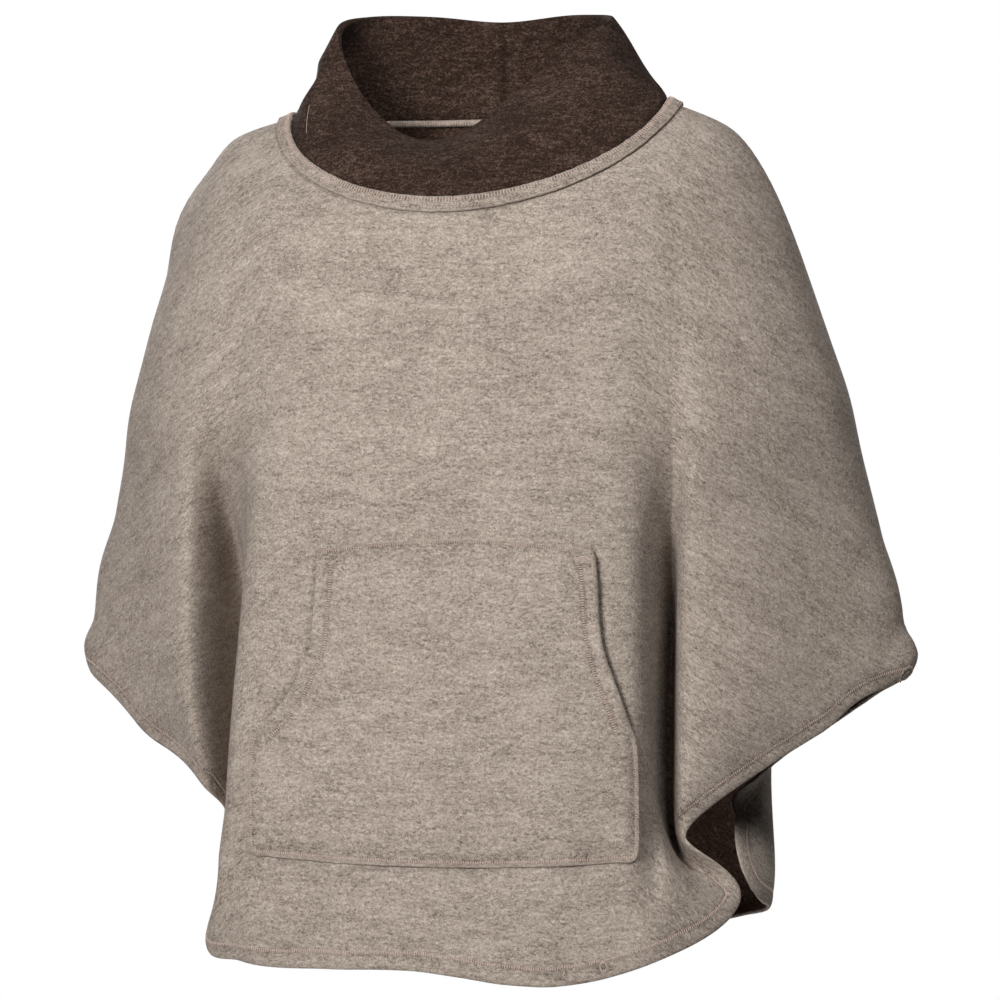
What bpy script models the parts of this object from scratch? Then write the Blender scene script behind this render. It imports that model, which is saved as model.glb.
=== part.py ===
"""Wool poncho: batwing front and back, funnel collar, turned-down neck band and kangaroo pocket.

Units are metres, +Z is up, the front faces -Y and the wearer's left is +X. The origin is the
middle of the neck at shoulder height, where a wearer holds the poncho up.
"""
import math

import bmesh
import bpy
import numpy as np
from mathutils import Vector
from mathutils.bvhtree import BVHTree

MM = 0.001

# Cloth
CLOTH = 3.0 * MM
COLLAR_CLOTH = 6.0 * MM
SEAM_GAP = 0.3 * MM
POCKET_GAP = 0.9 * MM

# Neck seam: an egg in plan, dipping at the front
NECK_HALF_WIDTH = 143 * MM
NECK_FRONT = 100 * MM
NECK_BACK = 85 * MM
NECK_DIP = 74 * MM
NECK_DIP_POWER = 1.15
SHOULDER_TILT = 0.02

# Neck band
BAND_WIDTH = 11 * MM

# Shares of the way from the neck to the shoulder section at which the rows below the band lie
YOKE_ROWS = (0.4, 0.7)

# Folds of the front panel, from the centre to the shoulder seam, on the wearer's left.
# Each row: name, angle round the neck in degrees, then x, y, z in millimetres where the fold
# line crosses the shoulder, chest, waist, low, lip and hem sections.
FRONT_FOLDS = (
    ("centre", 0, (0, -117, -135), (0, -131, -260), (0, -141, -400), (0, -147, -540),
     (0, -149, -592), (0, -150, -633)),
    ("front", 14, (42, -116, -131), (62, -130, -256), (70, -138, -398), (76, -146, -543),
     (80, -148, -596), (85, -147, -641)),
    ("front_edge", 30, (92, -107, -115), (118, -120, -250), (130, -120, -394),
     (145, -126, -541), (153, -129, -583), (166, -124, -616)),
    ("side_front", 39, (116, -100, -104), (135, -112, -248), (144, -107, -394),
     (153, -114, -545), (174, -112, -583), (190, -100, -604)),
    ("corner", 46, (130, -94, -98), (147, -104, -246), (144, -85, -394), (152, -92, -552),
     (194, -75, -576), (217, -48, -579)),
    ("lip", 52, (141, -88, -92), (156, -97, -243), (144, -57, -394), (146, -66, -545),
     (174, -60, -564), (191, -73, -554)),
    ("notch", 58, (150, -81, -85), (164, -93, -241), (151, -35, -390), (149, -42, -524),
     (160, -56, -551), (177, -77, -545)),
    ("inner", 62, (156, -74, -79), (172, -94, -238), (160, -56, -386), (159, -58, -506),
     (160, -68, -537), (168, -77, -538)),
    ("ridge", 67, (162, -67, -72), (182, -95, -234), (163, -82, -380), (162, -83, -492),
     (159, -83, -518), (162, -77, -532)),
    ("sleeve", 77, (178, -41, -48), (231, -57, -208), (234, -54, -356), (235, -45, -438),
     (235, -38, -460), (236, -31, -477)),
    ("cuff", 85, (187, -13, -28), (259, -10, -190), (290, -2, -326), (302, 4, -392),
     (306, 6, -415), (310, 8, -434)),
    ("shoulder_seam", 90, (198, 12, -27), (263, 32, -185), (297, 37, -300), (315, 40, -370),
     (324, 41, -396), (331, 42, -414)),
)

# Folds of the back panel, from the shoulder seam to the centre, on the wearer's left.
BACK_FOLDS = (
    ("cuff_back", 97, (188, 37, -25), (257, 64, -196), (290, 74, -322), (302, 71, -394),
     (301, 66, -416), (299, 61, -431)),
    ("sleeve_back", 107, (181, 60, -33), (235, 92, -210), (256, 101, -350), (256, 95, -430),
     (254, 83, -452), (250, 71, -466)),
    ("ridge_back", 116, (169, 80, -42), (206, 107, -221), (208, 104, -400), (209, 97, -470),
     (212, 75, -489), (207, 50, -501)),
    ("notch_back", 123, (154, 92, -48), (186, 115, -228), (192, 115, -440), (211, 89, -512),
     (207, 44, -522), (188, 10, -515)),
    ("corner_back", 130, (137, 102, -53), (166, 121, -232), (178, 122, -470), (214, 78, -552),
     (222, 6, -570), (209, -50, -583)),
    ("hem_fold", 140, (112, 110, -58), (137, 126, -238), (163, 127, -480), (207, 92, -576),
     (222, 62, -586), (227, 28, -593)),
    ("side_back", 153, (78, 117, -62), (99, 131, -243), (134, 136, -480), (180, 117, -588),
     (184, 111, -600), (188, 104, -611)),
    ("back", 167, (39, 120, -65), (50, 134, -247), (68, 147, -460), (88, 150, -592),
     (92, 151, -615), (95, 151, -637)),
    ("centre_back", 180, (0, 121, -65), (0, 135, -248), (0, 149, -455), (0, 155, -596),
     (0, 156, -620), (0, 157, -643)),
)

# How the wearer's right side differs from a mirror of the left, in millimetres outwards at
# the shoulder, chest, waist, low, lip and hem sections, and how much lower its hem hangs.
RIGHT_SIDE = {
    "front": (0, 0, 0, 0, 0, 0, -8),
    "front_edge": (0, 0, 14, 17, 3, -20, 12),
    "side_front": (0, 0, 13, 16, 4, -7, 18),
    "corner": (0, 0, 13, 16, -8, -25, 14),
    "lip": (0, 0, 12, 15, -1, -7, 10),
    "notch": (0, 0, 16, 17, 12, 8, 8),
    "inner": (2, 1, 23, 22, 21, 14, 5),
    "ridge": (4, 2, 30, 23, 22, 18, 0),
    "sleeve": (4, 2, 2, 2, 2, 2, 4),
    "cuff": (4, 2, 0, 1, 4, 5, 4),
    "shoulder_seam": (4, 3, -1, 1, 4, 5, 0),
    "cuff_back": (4, 2, 0, 1, 4, 5, 4),
    "sleeve_back": (4, 2, 2, 2, 2, 2, 2),
    "notch_back": (0, 0, 0, -2, -3, -5, 0),
    "corner_back": (0, 0, 0, -8, -22, -25, 15),
    "hem_fold": (0, 0, 0, -10, -16, -18, 12),
    "side_back": (0, 0, 0, -4, -6, -8, 8),
}

# Grid steps between one fold line and the next, and between one section and the next
FRONT_STEPS = (3, 4, 3, 3, 3, 3, 2, 2, 4, 3, 2)
BACK_STEPS = (2, 3, 3, 3, 3, 3, 4, 3, 3)
SECTION_STEPS = (3, 4, 4, 4, 2, 2)

# Easing of the cloth from this row of the grid down to the hem
RELAX_ROUNDS = 5
RELAX_SHARE = 0.6
RELAX_FROM = 11

# Soft troughs: panel, place across it (-1 right edge, 0 centre, 1 left edge), half width in
# the same measure, depth in millimetres, and where it starts and is deepest from neck to hem
SOFT_FOLDS = (
    ("front", -0.14, 0.09, 3.5, 0.45, 1.0),
    ("front", 0.22, 0.08, 3.0, 0.60, 1.0),
    ("front", 0.05, 0.10, 1.8, 0.30, 0.8),
    ("front", 0.88, 0.05, 3.0, 0.25, 0.8),
    ("front", -0.87, 0.05, 3.5, 0.30, 0.9),
    ("back", 0.10, 0.08, 6.0, 0.40, 1.0),
    ("back", -0.16, 0.10, 5.0, 0.30, 1.0),
    ("back", 0.33, 0.07, 5.5, 0.50, 1.0),
    ("back", -0.38, 0.06, 4.5, 0.45, 1.0),
    ("back", 0.72, 0.06, 3.0, 0.25, 0.8),
    ("back", -0.75, 0.06, 3.5, 0.30, 0.9),
)

# Collar sections: angle in degrees from the front towards the wearer's left, then x, y, z in
# millimetres half-way up and at the rim
COLLAR_SECTIONS = (
    (0, (-4, -82, -46), (-8, -47, -27)),
    (30, (60, -68, -24), (36, -34, 5)),
    (60, (106, -36, 10), (75, -12, 43)),
    (85, (117, 4, 33), (94, 14, 62)),
    (110, (115, 36, 38), (91, 44, 71)),
    (140, (76, 70, 39), (57, 73, 76)),
    (180, (0, 88, 38), (0, 85, 73)),
    (220, (-76, 71, 39), (-57, 75, 78)),
    (250, (-120, 40, 38), (-100, 50, 76)),
    (275, (-129, 5, 27), (-112, 14, 64)),
    (300, (-122, -32, 2), (-102, -10, 36)),
    (325, (-88, -66, -28), (-78, -32, 0)),
    (342, (-48, -78, -43), (-44, -44, -26)),
)
COLLAR_AROUND = 4
COLLAR_UP = 5
RIM_ROUND = (45, 90, 135)
FOOT_CLEAR = 1.5 * SEAM_GAP

# Pocket outline, down from its top seam: depth below the neck, then the edge on the wearer's
# right and on the wearer's left, in millimetres
POCKET_OUTLINE = (
    (-330, -88, 112),
    (-352, -88, 114),
    (-376, -90, 115),
    (-398, -92, 118),
    (-412, -98, 122),
    (-432, -108, 129),
    (-450, -124, 135),
    (-466, -137, 140),
    (-500, -140, 142),
    (-546, -138, 143),
)
POCKET_MOUTH_END = -466 * MM
POCKET_MOUTH_FOOT = 40 * MM
POCKET_MOUTH_HEAD = 30 * MM
POCKET_TOP_CROWN = 8 * MM
POCKET_FOOT_CROWN = 5 * MM
POCKET_COLUMNS = 30
POCKET_STEPS = 2
POCKET_LIFT = 2.2 * MM
POCKET_LIFT_REACH = 18 * MM
IN_FRONT = -500 * MM

# Wool
WOOL_ROUGHNESS = 0.95
SHARP_EDGE = math.radians(50)
LIGHT_WOOL = (0.36, 0.30, 0.25)
DARK_WOOL = (0.055, 0.035, 0.027)


def curve_point(before, start, end, after, share):
    """A point of a centripetal Catmull-Rom curve between start and end."""
    def knot(left, right):
        return np.maximum(np.linalg.norm(right - left, axis=-1, keepdims=True), 1e-9) ** 0.5

    t1 = knot(before, start)
    t2 = t1 + knot(start, end)
    t3 = t2 + knot(end, after)
    t = t1 + (t2 - t1) * share
    a1 = (t1 - t) / t1 * before + t / t1 * start
    a2 = (t2 - t) / (t2 - t1) * start + (t - t1) / (t2 - t1) * end
    a3 = (t3 - t) / (t3 - t2) * end + (t - t2) / (t3 - t2) * after
    b1 = (t2 - t) / t2 * a1 + t / t2 * a2
    b2 = (t3 - t) / (t3 - t1) * a2 + (t - t1) / (t3 - t1) * a3
    return (t2 - t) / (t2 - t1) * b1 + (t - t1) / (t2 - t1) * b2


def smooth_rows(points, steps, closed=False):
    """Curves through points along the first axis, with the given steps in each interval."""
    count = len(points)
    rows = []
    for index, parts in enumerate(steps):
        start = points[index]
        end = points[(index + 1) % count]
        before = points[index - 1] if closed or index else 2 * start - end
        last = not closed and index == count - 2
        after = 2 * end - start if last else points[(index + 2) % count]
        for part in range(parts):
            rows.append(curve_point(before, start, end, after, part / parts))
    if not closed:
        rows.append(points[-1])
    return np.array(rows)


def neck_point(angle):
    """The neck seam at an angle from the front, towards the wearer's left."""
    turn = math.radians(angle)
    forward = math.cos(turn)
    x = NECK_HALF_WIDTH * math.sin(turn)
    y = -forward * (NECK_FRONT if forward > 0 else NECK_BACK)
    z = -NECK_DIP * max(forward, 0.0) ** NECK_DIP_POWER
    return x, y, z + SHOULDER_TILT * x


def fold_line(row, side):
    """Neck to hem points of one fold line, on the wearer's left (1) or right (-1)."""
    name, angle, *crossings = row
    line = [neck_point(angle * side)]
    alike = (0,) * (len(crossings) + 1)
    *outward, drop = RIGHT_SIDE.get(name, alike) if side < 0 else alike
    lower = [0] * (len(crossings) - 2) + [drop / 2, drop]
    for (x, y, z), out, down in zip(crossings, outward, lower):
        line.append((side * (x + out) * MM, y * MM, (z - down) * MM))
    return line


def panel_lines():
    """Fold lines round the whole poncho, and the grid steps between them."""
    front_right = [fold_line(row, -1) for row in reversed(FRONT_FOLDS)]
    front_left = [fold_line(row, 1) for row in FRONT_FOLDS[1:]]
    back_left = [fold_line(row, 1) for row in BACK_FOLDS]
    back_right = [fold_line(row, -1) for row in reversed(BACK_FOLDS[:-1])]
    lines = np.array(front_right + front_left + back_left + back_right)
    steps = FRONT_STEPS[::-1] + FRONT_STEPS + BACK_STEPS + BACK_STEPS[::-1]
    return lines, steps


def section_rows(lines):
    """Each fold line as a smooth run of points from neck to hem.

    The first two rows under the neck lie half and once a band's width from it.
    """
    points = lines.transpose(1, 0, 2)
    before = 2 * points[0] - points[1]
    reach = np.linalg.norm(points[1] - points[0], axis=-1, keepdims=True)
    rows = [points[0]]
    for distance in (BAND_WIDTH / 2, BAND_WIDTH):
        rows.append(curve_point(before, points[0], points[1], points[2], distance / reach))
    for share in YOKE_ROWS:
        rows.append(curve_point(before, points[0], points[1], points[2], share))
    below = smooth_rows(points, SECTION_STEPS)
    return np.concatenate([np.array(rows), below[SECTION_STEPS[0]:]])


def relaxed(loop):
    """The closed grid with each point below the band drawn towards the mean of its neighbours."""
    for _ in range(RELAX_ROUNDS):
        beside = (np.roll(loop, 1, axis=0) + np.roll(loop, -1, axis=0)) / 2
        inner = slice(RELAX_FROM, -1)
        over = (loop[:, RELAX_FROM - 1:-2] + loop[:, RELAX_FROM + 1:]) / 2
        mean = (beside[:, inner] + over) / 2
        eased = loop.copy()
        eased[:, inner] += (mean - loop[:, inner]) * RELAX_SHARE
        eased[:, -1] += (beside[:, -1] - loop[:, -1]) * RELAX_SHARE
        loop = eased
    return loop


def grid_normals(grid, closed):
    """Outward unit normals of a grid of [column, row] points."""
    if closed:
        across = np.roll(grid, -1, axis=0) - np.roll(grid, 1, axis=0)
    else:
        across = np.gradient(grid, axis=0)
    along = np.gradient(grid, axis=1)
    normals = np.cross(along, across)
    return normals / np.linalg.norm(normals, axis=-1, keepdims=True)


def smooth_start(values):
    """A soft ramp from 0 to 1."""
    values = np.clip(values, 0.0, 1.0)
    return values * values * (3 - 2 * values)


def add_soft_folds(grid, normals, panel):
    """Presses the panel's soft troughs into its grid."""
    across = np.linspace(-1, 1, len(grid))[:, None]
    down = np.linspace(0, 1, grid.shape[1])[None, :]
    depth = np.zeros(grid.shape[:2])
    for name, place, half_width, millimetres, start, deepest in SOFT_FOLDS:
        if name == panel:
            trough = np.exp(-((across - place) / half_width) ** 2)
            depth += millimetres * MM * trough * smooth_start((down - start) / (deepest - start))
    return grid - normals * depth[..., None]


def mesh_object(name, vertices, faces, collection, colour):
    """A named object from vertices and faces, with its own wool material."""
    mesh = bpy.data.meshes.new(name)
    mesh.from_pydata([tuple(vertex) for vertex in vertices], [], faces)
    solid = bmesh.new()
    solid.from_mesh(mesh)
    bmesh.ops.recalc_face_normals(solid, faces=solid.faces)
    solid.to_mesh(mesh)
    solid.free()
    mesh.shade_smooth()
    mesh.set_sharp_from_angle(angle=SHARP_EDGE)
    material = bpy.data.materials.new(name + "_wool")
    material.use_nodes = True
    shader = material.node_tree.nodes["Principled BSDF"]
    shader.inputs["Base Color"].default_value = (*colour, 1)
    shader.inputs["Roughness"].default_value = WOOL_ROUGHNESS
    mesh.materials.append(material)
    piece = bpy.data.objects.new(name, mesh)
    collection.objects.link(piece)
    return piece


def wall_object(name, outer, inner, collection, colour, closed=False):
    """A cloth wall between two matching grids of [column, row] points."""
    columns, rows = outer.shape[:2]
    vertices = np.concatenate([outer.reshape(-1, 3), inner.reshape(-1, 3)])
    inside = columns * rows

    def at(column, row):
        return (column % columns) * rows + row

    faces = []
    last = columns if closed else columns - 1
    for column in range(last):
        for row in range(rows - 1):
            near, far = at(column, row), at(column + 1, row)
            faces.append((near, near + 1, far + 1, far))
            faces.append((inside + near, inside + far, inside + far + 1, inside + near + 1))
        for row in (0, rows - 1):
            near, far = at(column, row), at(column + 1, row)
            faces.append((near, far, inside + far, inside + near))
    if not closed:
        for column in (0, columns - 1):
            for row in range(rows - 1):
                near = at(column, row)
                faces.append((near, near + 1, inside + near + 1, inside + near))
    return mesh_object(name, vertices, faces, collection, colour)


def cloth_wall(name, grid, normals, collection, colour, thickness=CLOTH, closed=False):
    """A wall of even thickness round a grid of its middle points."""
    half = normals * thickness / 2
    return wall_object(name, grid + half, grid - half, collection, colour, closed)


def drawn_back(grid):
    """The grid with its two outer columns drawn back by half a seam gap."""
    drawn = grid.copy()
    for edge, inner in ((0, 1), (-1, -2)):
        step = grid[inner] - grid[edge]
        step /= np.linalg.norm(step, axis=-1, keepdims=True)
        drawn[edge] += step * SEAM_GAP / 2
    return drawn


def collar_grid(neck, slope):
    """Middle points of the collar from its foot on the neck seam to its rim."""
    angles = np.array([row[0] for row in COLLAR_SECTIONS], float)
    middle = np.array([row[1] for row in COLLAR_SECTIONS], float) * MM
    rim = np.array([row[2] for row in COLLAR_SECTIONS], float) * MM
    around = []
    for index, angle in enumerate(angles):
        following = angles[(index + 1) % len(angles)] + (360 if index == len(angles) - 1 else 0)
        for part in range(COLLAR_AROUND):
            around.append(angle + (following - angle) * part / COLLAR_AROUND)
    steps = (COLLAR_AROUND,) * len(angles)
    middle = smooth_rows(middle, steps, closed=True)
    rim = smooth_rows(rim, steps, closed=True)
    foot = []
    for angle in around:
        seam = np.array(neck_point(angle))
        nearest = np.argmin(np.linalg.norm(neck - seam, axis=1))
        down = slope[nearest]
        outward = np.array((math.sin(math.radians(angle)), -math.cos(math.radians(angle)), 0))
        clear = FOOT_CLEAR + COLLAR_CLOTH / 2 * abs(outward @ down)
        foot.append(seam - down * clear)
    points = np.array([foot, middle, rim])
    rows = smooth_rows(points, (COLLAR_UP - 2, COLLAR_UP - 2))
    return rows.transpose(1, 0, 2)


def make_collar(neck, slope, collection):
    """Doubled collar with a rounded rim, closed all round."""
    grid = collar_grid(neck, slope)
    normals = grid_normals(grid, closed=True) * -1
    half = COLLAR_CLOTH / 2
    rim = grid[:, -1]
    out = normals[:, -1]
    up = rim - grid[:, -2]
    up /= np.linalg.norm(up, axis=-1, keepdims=True)
    profile = [grid[:, row] + normals[:, row] * half for row in range(grid.shape[1])]
    for degrees in RIM_ROUND:
        turn = math.radians(degrees)
        profile.append(rim + (out * math.cos(turn) + up * math.sin(turn)) * half)
    profile += [grid[:, row] - normals[:, row] * half for row in reversed(range(grid.shape[1]))]
    rings = np.array(profile)
    count, columns = rings.shape[:2]
    faces = []
    for ring in range(count):
        following = (ring + 1) % count
        for column in range(columns):
            beside = (column + 1) % columns
            faces.append((ring * columns + column, ring * columns + beside,
                          following * columns + beside, following * columns + column))
    return mesh_object("collar", rings.reshape(-1, 3), faces, collection, DARK_WOOL)


def pocket_rows():
    """Height and edges of each row of the pocket, from a curve through its outline."""
    outline = np.array(POCKET_OUTLINE, float) * MM
    return smooth_rows(outline, (POCKET_STEPS,) * (len(outline) - 1))


def make_pocket(front_tree, collection):
    """Pocket laid on the front panel, its two slanted mouths standing a little off it."""
    rows = pocket_rows()
    top = rows[0, 0]
    foot = rows[-1, 0]
    backwards = Vector((0, 1, 0))
    places = []
    lifts = []
    for share in np.linspace(0, 1, POCKET_COLUMNS):
        bow = 4 * share * (1 - share)
        for height, right, left in rows:
            x = right + (left - right) * share
            fall = (top - height) / (top - foot)
            z = height + bow * (POCKET_TOP_CROWN * (1 - fall) - POCKET_FOOT_CROWN * fall)
            places.append(front_tree.ray_cast(Vector((x, IN_FRONT, z)), backwards)[0])
            from_mouth = min(x - right, left - x)
            open_here = smooth_start((height - POCKET_MOUTH_END) / POCKET_MOUTH_FOOT)
            open_here *= smooth_start((top - height) / POCKET_MOUTH_HEAD)
            lifts.append(POCKET_LIFT * open_here * math.exp(-from_mouth / POCKET_LIFT_REACH))
    places = np.array(places).reshape(POCKET_COLUMNS, len(rows), 3)
    lifts = np.array(lifts).reshape(POCKET_COLUMNS, len(rows), 1)
    normals = grid_normals(places, closed=False)
    base = places + normals * (POCKET_GAP + lifts)
    return wall_object("pocket", base + normals * CLOTH, base, collection, LIGHT_WOOL)


def outer_tree(grid, normals):
    """A search tree of a panel's outer face."""
    outer = grid + normals * CLOTH / 2
    columns, rows = outer.shape[:2]
    polygons = []
    for column in range(columns - 1):
        for row in range(rows - 1):
            near = column * rows + row
            polygons.append((near, near + 1, near + rows + 1, near + rows))
    return BVHTree.FromPolygons([Vector(point) for point in outer.reshape(-1, 3)], polygons)


def make_poncho():
    """All pieces of the poncho."""
    for leftover in list(bpy.data.objects):
        bpy.data.objects.remove(leftover, do_unlink=True)
    collection = bpy.data.collections.new("wool_poncho")
    bpy.context.scene.collection.children.link(collection)

    lines, steps = panel_lines()
    rows = section_rows(lines)
    loop = relaxed(smooth_rows(rows.transpose(1, 0, 2), steps, closed=True))
    normals = grid_normals(loop, closed=True)
    front_columns = 2 * sum(FRONT_STEPS)
    front = loop[:front_columns + 1]
    front_normals = normals[:front_columns + 1]
    back = np.concatenate([loop[front_columns:], loop[:1]])
    back_normals = np.concatenate([normals[front_columns:], normals[:1]])
    front = add_soft_folds(front, front_normals, "front")
    back = add_soft_folds(back, back_normals, "back")

    cloth_wall("front", drawn_back(front), front_normals, collection, LIGHT_WOOL)
    cloth_wall("back", drawn_back(back), back_normals, collection, LIGHT_WOOL)

    band = loop[:, :3] + normals[:, :3] * (CLOTH + SEAM_GAP)
    cloth_wall("neck_band", band, normals[:, :3], collection, LIGHT_WOOL, closed=True)

    slope = loop[:, 1] - loop[:, 0]
    slope /= np.linalg.norm(slope, axis=-1, keepdims=True)
    make_collar(loop[:, 0], slope, collection)
    make_pocket(outer_tree(front, front_normals), collection)


make_poncho()
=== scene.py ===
"""Wool poncho in a pale studio: brushed beige heather outside, dark brown inside and at the collar.

Units are metres, +Z is up, the front faces -Y and the wearer's left is +X.
"""
import math

import bpy
import numpy as np
from mathutils import Matrix, Vector, noise
from mathutils.bvhtree import BVHTree
from mathutils.kdtree import KDTree


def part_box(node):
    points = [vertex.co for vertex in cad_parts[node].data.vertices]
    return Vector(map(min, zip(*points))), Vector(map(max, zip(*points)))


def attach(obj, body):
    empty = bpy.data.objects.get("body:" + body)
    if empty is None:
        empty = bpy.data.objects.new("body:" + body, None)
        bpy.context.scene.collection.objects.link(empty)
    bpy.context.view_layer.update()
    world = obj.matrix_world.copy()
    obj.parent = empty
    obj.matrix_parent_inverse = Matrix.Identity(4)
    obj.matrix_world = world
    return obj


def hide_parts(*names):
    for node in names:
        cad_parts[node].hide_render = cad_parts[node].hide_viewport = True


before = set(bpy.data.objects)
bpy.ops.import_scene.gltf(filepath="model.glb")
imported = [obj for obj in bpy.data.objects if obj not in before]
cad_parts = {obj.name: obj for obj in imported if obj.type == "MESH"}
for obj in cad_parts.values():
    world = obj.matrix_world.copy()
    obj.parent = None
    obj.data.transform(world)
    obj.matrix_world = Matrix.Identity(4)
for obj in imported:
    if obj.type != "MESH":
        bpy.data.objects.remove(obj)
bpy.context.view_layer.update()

MM = 0.001
SEED = 11

# View of the photograph
VIEW_TURN = math.radians(12.5)
VIEW_DISTANCE = 2.9
VIEW_HEIGHT = -0.2925
VIEW_ASIDE = 0.0157
VIEW_WIDTH = 0.75
SENSOR = 36

SURROUND = 0.03
FLOOR = -1.42

# Cloth
WELD = 0.01 * MM
QUAD_BEND = math.radians(90)
QUAD_ORDER = 2.0
SIDE_TURN = math.radians(62)
OUTSIDE, INSIDE, CUT_EDGE = 0, 1, 2
HOLD_ROUNDS = 2
HOLD_SHARE = 0.9
FRAY = 0.45 * MM
FRAY_PITCH = 3.2 * MM
FRAY_LEAST = 0.1
SLEEVE_CORNER = (330 * MM, 42 * MM, -414 * MM)
HEM_MIDDLE = (0, -0.15, -0.64)

# Folds: the ridge beside a trough, how uneven both run, and where they fade at the sides
RIDGE_SHARE, RIDGE_AWAY = 0.45, 1.9
UNEVEN, UNEVEN_RATE, UNEVEN_START = 0.35, 41, 60
SIDE_FADE = 50 * MM

# Sewing
HEM_INSET = 10.5 * MM
STITCH_PITCH = 1.7 * MM
STITCH_LENGTH = 3.0 * MM
THREAD = 0.85 * MM
THREAD_LIFT = 0.15
LENGTH_SPREAD = (0.9, 1.08)
ALONG, ACROSS = 0.0, math.pi / 2
HEM_TRIM = 3 * MM
ROPE_SIDES = 8
NECK_TURNS = 180
NECK_SLICE = 0.06

# Dents along stitched lines: depth, reach and, where it isn't whole, the share of darkening:
# painted shade in the groove, with nap flattened by the thread
STITCH_DENT = (0.7 * MM, 1.8 * MM)
COLLAR_DENT = (0.9 * MM, 1.3 * MM, 0.7)
ROW_DENT = (0.6 * MM, 1.2 * MM)
COMB_DENT = (0.3 * MM, 2.4 * MM, 0.9)

# Collar and neck: height of the centre-back seam, and the two rows of the band
COLLAR_SEAM = (3 * MM, 80 * MM)
ROW_INSET, COMB_INSET = 2.2 * MM, 2.3 * MM

# Pocket: its upper corners and the lower ends of its mouths
POCKET_TOP = (-88 * MM, 112 * MM)
POCKET_MOUTHS = (-137 * MM, 140 * MM)
MOUTH_FOOT = -466 * MM
MOUTH_TRIM = 9 * MM
SEAM_INSET = 1.4 * MM

# Relief round the pocket: its stitched edges, its two rims, the gap behind them, the swell outside;
# the dents of the edges and the gap carry painted shade
EDGE_INSET, EDGE_DENT = 0.6 * MM, (2.0 * MM, 5.0 * MM, 0.5)
RIM_INSET, RIM_TRIM = 2.0 * MM, 12 * MM
RIM_RISES = (1.8 * MM, 0.7 * MM)
RIM_REACH = 4.0 * MM
GAP_TRIM, GAP_DENT = 8, (1.6 * MM, 3.4 * MM, 1.1)
SWELL_AWAY, SWELL_RISE, SWELL_REACH = 4 * MM, 1.4 * MM, 3.5 * MM

# Walking inwards from an edge
PATH_STEP = 1.0 * MM
STEP_PARTS = 4
TEST_WALK = 2 * MM
WALK = 1.2 * MM
WALKS = 18
EASE_REACH = 6
EDGE_EASES, NECK_EASES = 3, 4

# Heather: how often the fibres repeat in a metre, across, in depth and up
STREAKS = (70, 70, 300)
DASHES = (330, 330, 640)
CURLS = 760.0
MOTTLE = (20, 20, 44)

# Shares of streaks, dashes, curls and mottle in the colour, and of the first three in the relief
SHADE_SHARES = (0.34, 0.80, 1.05, 0.24)
RELIEF_SHARES = (0.20, 0.40, 0.6)
# Painted shade in the dents, as a shift down the ramp
PAINTED_DENT_SHADE = 0.20
DARK_AT, MID_AT, PALE_AT = 0.16, 0.50, 0.86

# Wool colours, linear
FIBRE_DARK = (0.100, 0.080, 0.064)
FIBRE_MID = (0.350, 0.288, 0.240)
FIBRE_PALE = (0.600, 0.520, 0.452)
BROWN_DARK = (0.0105, 0.0056, 0.0040)
BROWN_MID = (0.0340, 0.0192, 0.0138)
BROWN_PALE = (0.150, 0.098, 0.076)

# The body's inside is the collar's brown painted lighter: painted light for the light that reaches
# into the garment
INSIDE_PAINTED_LIGHT = 3.2
PINK_THREAD = (0.640, 0.480, 0.415)

# Short stitched end on the collar's side
SIDE_SEAM = ((-0.120, -0.048, -0.019), (-0.122, -0.036, 0.003))


class Value:
    """A number on a shader socket that Python's arithmetic works on."""

    def __init__(self, tree, socket):
        self.tree = tree
        self.socket = socket

    def math(self, operation, *others):
        node = self.tree.nodes.new("ShaderNodeMath")
        node.operation = operation
        for place, item in zip(node.inputs, (self, *others)):
            plug(self.tree, item, place)
        return Value(self.tree, node.outputs[0])

    def __add__(self, other):
        return self.math("ADD", other)

    __radd__ = __add__

    def __sub__(self, other):
        return self.math("SUBTRACT", other)

    def __rsub__(self, other):
        return self * -1 + other

    def __mul__(self, other):
        return self.math("MULTIPLY", other)

    __rmul__ = __mul__

    def __abs__(self):
        return self.math("ABSOLUTE")

    def at_least(self, other):
        return self.math("MAXIMUM", other)


def plug(tree, item, socket):
    """Puts a Value, a link or a constant into a socket."""
    if isinstance(item, Value):
        tree.links.new(item.socket, socket)
    elif isinstance(item, bpy.types.NodeSocket):
        tree.links.new(item, socket)
    else:
        socket.default_value = item


class Finish:
    """A material with its nodes."""

    def __init__(self, name):
        self.material = bpy.data.materials.new(name)
        self.material.use_nodes = True
        self.tree = self.material.node_tree
        self.shader = self.tree.nodes["Principled BSDF"]

    def node(self, kind, settings=None, values=None):
        """A node of one kind: its settings are made first, then its sockets."""
        node = self.tree.nodes.new(kind)
        for key, setting in (settings or {}).items():
            if key == "stops":
                self.set_stops(node.color_ramp, setting)
            else:
                setattr(node, key, setting)
        for key, item in (values or {}).items():
            plug(self.tree, item, node.inputs[key])
        return node

    def set_stops(self, ramp, stops):
        """The places and colours of a ramp."""
        while len(ramp.elements) < len(stops):
            ramp.elements.new(0.5)
        for element, (place, colour) in zip(ramp.elements, stops):
            element.position = place
            element.color = (*colour, 1)

    def value(self, node, output=0):
        return Value(self.tree, node.outputs[output])

    def set(self, **constants):
        """Constants on the shader's own sockets."""
        for name, item in constants.items():
            plug(self.tree, item, self.shader.inputs[name.replace("_", " ")])

    def noise(self, place, scale, detail=2.0, roughness=0.5, distortion=0.0):
        """Noise from 0 to 1 over a place that may be stretched."""
        node = self.node("ShaderNodeTexNoise", values={
            "Vector": place, "Scale": scale, "Detail": detail,
            "Roughness": roughness, "Distortion": distortion})
        return self.value(node)

    def stretched(self, place, scale):
        """A place with its axes scaled one by one."""
        node = self.node("ShaderNodeMapping", values={"Vector": place, "Scale": scale})
        return node.outputs["Vector"]


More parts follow.
